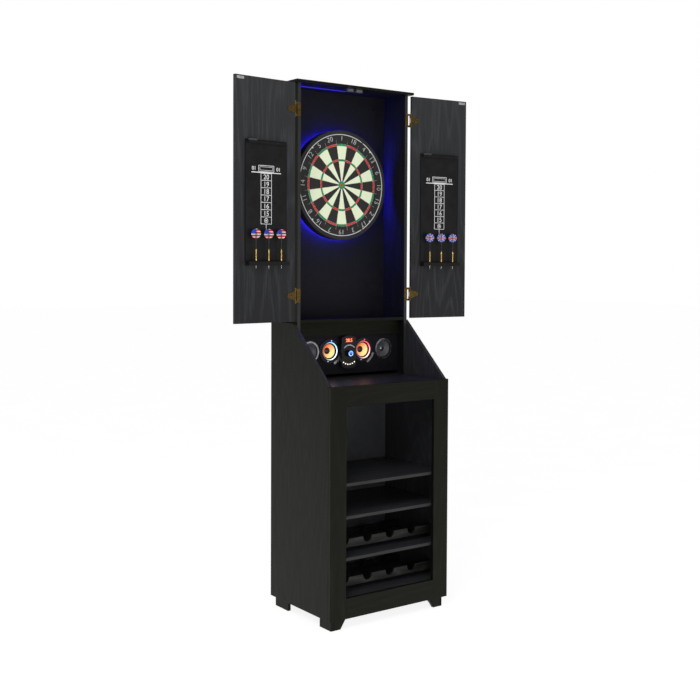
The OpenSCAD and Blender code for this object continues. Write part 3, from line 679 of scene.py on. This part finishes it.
def dart_piece(number):
    """Brass barrel with grip rings, black shaft, steel point and four thin round wings."""
    side = "left" if number < 4 else "right"
    low, high = flat_box("dart_%d" % number, side)
    x, y = (low.x + high.x) / 2, (low.y + high.y) / 2
    rest_z = low.z + 30 * MM
    wing_z = high.z - WING_R
    shape = Shape()
    at = Matrix.Translation((x, y, 0))
    grips = []
    for k in range(12):
        z = rest_z + (7 + 2.6 * k) * MM
        grips += [(3.3 * MM, z), (3.3 * MM, z + 1.3 * MM), (2.8 * MM, z + 1.6 * MM), (2.8 * MM, z + 2.3 * MM)]
    nose = [(0.1 * MM, rest_z + 0.1 * MM), (2.0 * MM, rest_z + 0.1 * MM), (3.2 * MM, rest_z + 4 * MM)]
    tail = [(3.3 * MM, rest_z + 40 * MM), (2.5 * MM, rest_z + 47 * MM), (0.1 * MM, rest_z + 48 * MM)]
    shape.turned(nose + grips + tail, at, 24, 0)
    shape.turned([(0.05 * MM, low.z), (0.7 * MM, low.z + 6 * MM), (1.15 * MM, low.z + 14 * MM),
                  (1.15 * MM, rest_z + 1 * MM)], at, 16, 1)
    shape.turned([(0.1 * MM, rest_z + 47.5 * MM), (2.6 * MM, rest_z + 48 * MM), (2.6 * MM, rest_z + 50 * MM),
                  (1.9 * MM, rest_z + 52 * MM), (1.7 * MM, rest_z + 72 * MM), (2.2 * MM, rest_z + 80 * MM),
                  (1.9 * MM, wing_z), (1.2 * MM, wing_z + 16 * MM), (0.1 * MM, wing_z + 17 * MM)], at, 16, 2)
    for turn in (45, -45):
        spin = math.radians(turn)
        for face in (-0.25 * MM, 0.25 * MM):
            rim = [(math.cos(a) * WING_R * 0.985, math.sin(a) * WING_R * 0.985)
                   for a in (2 * math.pi * k / 40 for k in range(40))]
            points = [(x + u * math.cos(spin) - face * math.sin(spin),
                       y + u * math.sin(spin) + face * math.cos(spin), wing_z + v) for u, v in rim]
            uvs = [(0.5 + u / (2 * WING_R), 0.5 + v / (2 * WING_R)) for u, v in rim]
            shape.add(points, [tuple(range(40))], 3, uvs)
    style = "flight_stripes" if number < 4 else "flight_crosses"
    shape.make("dart_%d_detailed" % number, "dart_%d_body" % number,
               ["dart_brass", "steel", "shaft", style], replaces=["dart_%d" % number], side=side)


for number in range(1, 7):
    dart_piece(number)


# --------------------------------------------------------------- speaker console

PANEL_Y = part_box("speaker_housing")[1].y
POD_Y = PANEL_Y - 4 * MM
PASSIVE_RIM_R = 43.5 * MM
WOOFERS = (UNIT_X - WOOFER_DX, UNIT_X + WOOFER_DX)


def front_cone(shape, x, y, z, steps, profile, paint):
    """Adds a turned form that looks out of the front; the profile is (radius, depth behind y) in mm."""
    turn = facing_front(x, y, z)
    shape.turned([(r * MM, -depth * MM) for r, depth in profile], turn, steps, paint)


def speaker_back(shape, x, hole_r, paint):
    """Basket, magnet and rear plate behind the panel; depths are from the panel's front."""
    magnet_r = hole_r * 0.72
    front_cone(shape, x, PANEL_Y, WOOFER_Z, 40,
               [(hole_r, 12.2), (hole_r + 4.8, 12.2), (hole_r + 4.8, 14.3), (hole_r + 1, 14.5),
                (magnet_r, 28), (magnet_r, 40), (magnet_r - 1, 40.4), (magnet_r - 1, 45.6),
                (8, 45.8), (7, 44.5), (0.05, 44.5)], paint)


def domed_cap(radius, rim_depth, rise, steps):
    """Profile of a dust cap from its rim to its middle."""
    angles = [math.pi / 2 * k / steps for k in range(steps)]
    curve = [(radius * math.cos(a), rim_depth - rise * math.sin(a)) for a in angles]
    return curve + [(0.05, rim_depth - rise)]


def woofers():
    """Rolled surround, cone with painted light and painted rib shade, and dark cap, deep in each bezel, with
    the driver behind.
    """
    for x, side in zip(WOOFERS, ("left", "right")):
        shape = Shape()
        surround = [(32.9, 4.6), (31.8, 3.2), (30.2, 2.8), (28.9, 3.8), (28.2, 6.0)]
        front_cone(shape, x, POD_Y, WOOFER_Z, 56, surround, 0)
        front_cone(shape, x, POD_Y, WOOFER_Z, 56, [(28.2, 6), (23, 11), (18, 16), (14, 20)], 1)
        front_cone(shape, x, POD_Y, WOOFER_Z, 56, domed_cap(14, 20, 7, 8), 2)
        speaker_back(shape, x, 33, 0)
        replaced = ["woofer_cones"] if side == "left" else []
        shape.make(side + "_woofer", "cabinet",
                   ["cone_dark", side + "_cone_glow", "cap_gloss"], replaces=replaced)


def passive_speakers():
    """Dark cones with a rolled surround and a domed cap behind the two outer rims."""
    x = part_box("passive_speaker_rims")[1].x - PASSIVE_RIM_R
    shape = Shape()
    for place_x in (-x, x):
        front_cone(shape, place_x, PANEL_Y, WOOFER_Z, 48,
                   [(35.8, 2.6), (34, 0.9), (31.5, 0.6), (29.5, 1.6), (28.5, 3.4)], 0)
        front_cone(shape, place_x, PANEL_Y, WOOFER_Z, 48, [(28.5, 3.4), (20, 7), (12, 10.2)], 0)
        front_cone(shape, place_x, PANEL_Y, WOOFER_Z, 48, domed_cap(12, 10.2, 5.5, 6), 1)
        speaker_back(shape, place_x, 36, 0)
    shape.make("passive_speaker_insides", "cabinet", ["cone_grey", "dark_chrome"],
               replaces=["passive_speaker_cones"])


def ring_bezels():
    """A raised lip round each lit ring and another near the edge of each bezel."""
    shape = Shape()
    for x in WOOFERS:
        front_cone(shape, x, POD_Y, WOOFER_Z, 64,
                   [(48.6, 0), (48.6, -1.0), (49.2, -1.5), (50.0, -1.5), (50.6, -0.9), (50.7, 0)], 0)
        front_cone(shape, x, POD_Y, WOOFER_Z, 64,
                   [(36.9, 0), (36.9, -1.4), (37.5, -2.0), (38.4, -2.0), (38.9, -1.2), (39.0, 0)], 0)
    shape.make("woofer_bezels", "cabinet", ["housing"])


def knob_and_display():
    """Blue ring and pointer on the knob, and made-up digits in the display."""
    low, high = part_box("volume_knob")
    x, z = (low.x + high.x) / 2, (low.z + high.z) / 2
    ring = Shape()
    front_cone(ring, x, low.y, z, 48, [(8.4, 0), (8.4, -0.6), (10.6, -0.6), (10.6, 0)], 0)
    ring.block((x - 0.9 * MM, low.y - 0.6 * MM, z - 1 * MM), (x + 0.9 * MM, low.y, z + 6 * MM))
    ring.make("knob_light", "knob", ["knob_blue"])
    low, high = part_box("speaker_display")
    digits = Shape()
    middle = ((low.x + high.x) / 2, low.y, (low.z + high.z) / 2)
    digits.lettering("28.5", 13 * MM, facing_front(*middle), 0.3 * MM)
    digits.make("display_digits", "cabinet", ["display_lit"], smooth=False)


woofers()
passive_speakers()
ring_bezels()
knob_and_display()


# ----------------------------------------------------------- fastenings and trim

SCREW_R = 1.75  # head radius in mm


def screw(shape, turn, radius):
    """A countersunk head, flush with the face it is in; +Z looks out of the face."""
    head = [(0.05, 0), (radius * 0.98, 0), (radius * 0.6, -0.8), (radius * 0.3, -1.1)]
    shape.turned([(r * MM, h * MM) for r, h in head], turn, 20)


def hinge_screws():
    """Screws in every hinge leaf, each set riding on the body that its leaf belongs to."""
    low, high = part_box("cabinet_hinge_leaves")
    heights = (low.z + 31 * MM, high.z - 31 * MM)
    fixed = Shape()
    for sign in (-1, 1):
        for z in heights:
            for dz in (-21, 21):
                screw(fixed, facing_front(sign * 270 * MM, 40.9 * MM, z + dz * MM), SCREW_R)
    fixed.make("cabinet_hinge_screws", "cabinet", ["brass"])
    for side, sign in (("left", -1), ("right", 1)):
        shape = Shape()
        for z in heights:
            for dx, dz in ((8, -9), (8, 9), (28, 0)):
                screw(shape, facing_front(sign * (293.5 + dx) * MM, 34.3 * MM, z + dz * MM), SCREW_R)
        shape.make(side + "_hinge_screws", side + "_door", ["brass"], side=side)


def strike_screws():
    for side in ("left", "right"):
        low, high = flat_box(side + "_strike_plate", side)
        x, z = (low.x + high.x) / 2, (low.z + high.z) / 2
        shape = Shape()
        front_cone(shape, x, low.y, z, 24, [(0.1, -0.25), (2.4, -0.2), (3.0, 0)], 0)
        shape.make(side + "_strike_screw", side + "_door", ["steel"], side=side)


def catch_magnets():
    """Two steel pole strips in the front of each magnetic catch."""
    low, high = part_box("magnetic_catches")
    shape = Shape()
    for sign in (-1, 1):
        for dz in (-2.6, 2.6):
            z = (low.z + high.z) / 2 + dz * MM
            ends = sorted((sign * 10 * MM, sign * 34 * MM))
            shape.block((ends[0], low.y - 0.2 * MM, z - 0.9 * MM), (ends[1], low.y + 1 * MM, z + 0.9 * MM))
    shape.make("catch_poles", "cabinet", ["steel"], smooth=False)


def shelf_edge_bands():
    """Edge strips along the fronts of the three shelves, seen in the face frame's opening, lighter with a
    painted highlight.
    """
    shape = Shape()
    low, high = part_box("shelves")
    for top in (560, 433, 272):
        shape.block((-216.5 * MM, low.y - 0.5 * MM, (top - 11.8) * MM), (216.5 * MM, low.y, (top - 0.2) * MM))
    shape.make("shelf_edge_bands", "cabinet", ["edge_highlight_oak"], smooth=False)


def case_edge_bands():
    """Edge strips with a painted highlight on the front edges of the upper sides and on the slanted edges of
    the base sides.
    """
    shape = Shape()
    low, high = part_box("upper_right_side")
    inset = 0.3 * MM
    for sign in (-1, 1):
        ends = sorted((sign * (low.x + inset), sign * (high.x - inset)))
        shape.block((ends[0], low.y - inset, low.z + inset), (ends[1], low.y, high.z - inset))
    base_low, base_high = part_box("base_right_side")
    foot = Vector((0, base_low.y + 0.5 * MM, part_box("counter_top")[1].z + 0.5 * MM))
    head = Vector((0, low.y + 11.5 * MM, base_high.z - 0.5 * MM))
    lift = (head - foot).cross(Vector((-1, 0, 0))).normalized() * 0.35 * MM
    for sign in (-1, 1):
        corners = []
        for x in (sign * (base_low.x + inset), sign * (base_high.x - inset)):
            corners += [foot + Vector((x, 0, 0)), head + Vector((x, 0, 0))]
        raised = [c + lift for c in corners]
        shape.add(corners + raised, BOX_FACES)
    shape.make("case_edge_bands", "cabinet", ["upright_highlight_oak"], smooth=False)


def back_nails():
    """Brad heads along the edges of both back panels."""
    shape = Shape()
    for node, inset in (("base_back_panel", 10), ("upper_back_panel", 8)):
        low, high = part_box(node)
        count = int((high.z - low.z) / (110 * MM))
        for k in range(count):
            z = low.z + (high.z - low.z) * (k + 0.5) / count
            for x in (low.x + inset * MM, high.x - inset * MM):
                turn = Matrix.Translation((x, high.y, z)) @ Matrix.Rotation(-math.pi / 2, 4, "X")
                shape.turned([(2.4 * MM, 0), (2.2 * MM, 0.35 * MM), (0.05 * MM, 0.45 * MM)], turn, 12)
    shape.make("back_panel_nails", "cabinet", ["steel"])


hinge_screws()
strike_screws()
catch_magnets()
shelf_edge_bands()
case_edge_bands()
back_nails()


# -------------------------------------------------------------- floor and lights

def floor():
    mesh = bpy.data.meshes.new("floor")
    mesh.from_pydata([(-30, -30, 0), (30, -30, 0), (30, 30, 0), (-30, 30, 0)], [], [(0, 1, 2, 3)])
    plane = bpy.data.objects.new("floor", mesh)
    scene.collection.objects.link(plane)
    paint = mottled("floor_paint", colour(0.34, 0.34, 0.34), colour(0.38, 0.38, 0.38), 3, (0.8, 0.9),
                    specular=0.0)
    shader = paint.node_tree.nodes["Principled BSDF"]
    shader.inputs["Emission Color"].default_value = colour(1, 1, 1)
    shader.inputs["Emission Strength"].default_value = 0.86
    mesh.materials.append(paint)


def softbox(name, place_at, target, size, power):
    data = bpy.data.lights.new(name, "AREA")
    data.shape = "RECTANGLE"
    data.size, data.size_y = size
    data.energy = power
    lamp = bpy.data.objects.new(name, data)
    lamp.location = place_at
    lamp.rotation_euler = (Vector(target) - Vector(place_at)).to_track_quat("-Z", "Y").to_euler()
    scene.collection.objects.link(lamp)


def sky():
    world = bpy.data.worlds.new("studio")
    scene.world = world
    world.use_nodes = True
    background = world.node_tree.nodes["Background"]
    background.inputs["Color"].default_value = colour(1, 1, 1)
    seen = add_node(world.node_tree, "LightPath").outputs["Is Camera Ray"]
    world.node_tree.links.new(span(world.node_tree, seen, 0.0, 1.0, 0.36, 1.0), background.inputs["Strength"])


def camera():
    """The photograph's view: about 36 degrees to the left of the front and at the console's height."""
    yaw, tilt, roll = 0.6265, math.radians(2.0), math.radians(0.25)
    ahead = Vector((math.sin(yaw) * math.cos(tilt), math.cos(yaw) * math.cos(tilt), -math.sin(tilt)))
    right = Vector((math.cos(yaw), -math.sin(yaw), 0))
    up = right.cross(ahead)
    right, up = (right * math.cos(roll) + up * math.sin(roll), up * math.cos(roll) - right * math.sin(roll))
    data = bpy.data.cameras.new("camera")
    data.lens = 55.52
    data.sensor_width = 36
    data.shift_y = -0.0677
    data.clip_end = 100
    cam = bpy.data.objects.new("camera", data)
    turn = Matrix((right, up, -ahead)).transposed().to_4x4()
    cam.matrix_world = Matrix.Translation((-2.60525, -3.52974, 1.39667)) @ turn
    scene.collection.objects.link(cam)
    scene.camera = cam


floor()
sky()
softbox("key", (-2.6, -1.9, 3.2), (0, 0, 1.7), (1.8, 1.8), 42)
softbox("fill", (-1.2, -3.6, 0.9), (0, 0, 0.6), (1.2, 1.2), 22)
camera()
scene.view_settings.view_transform = "Standard"
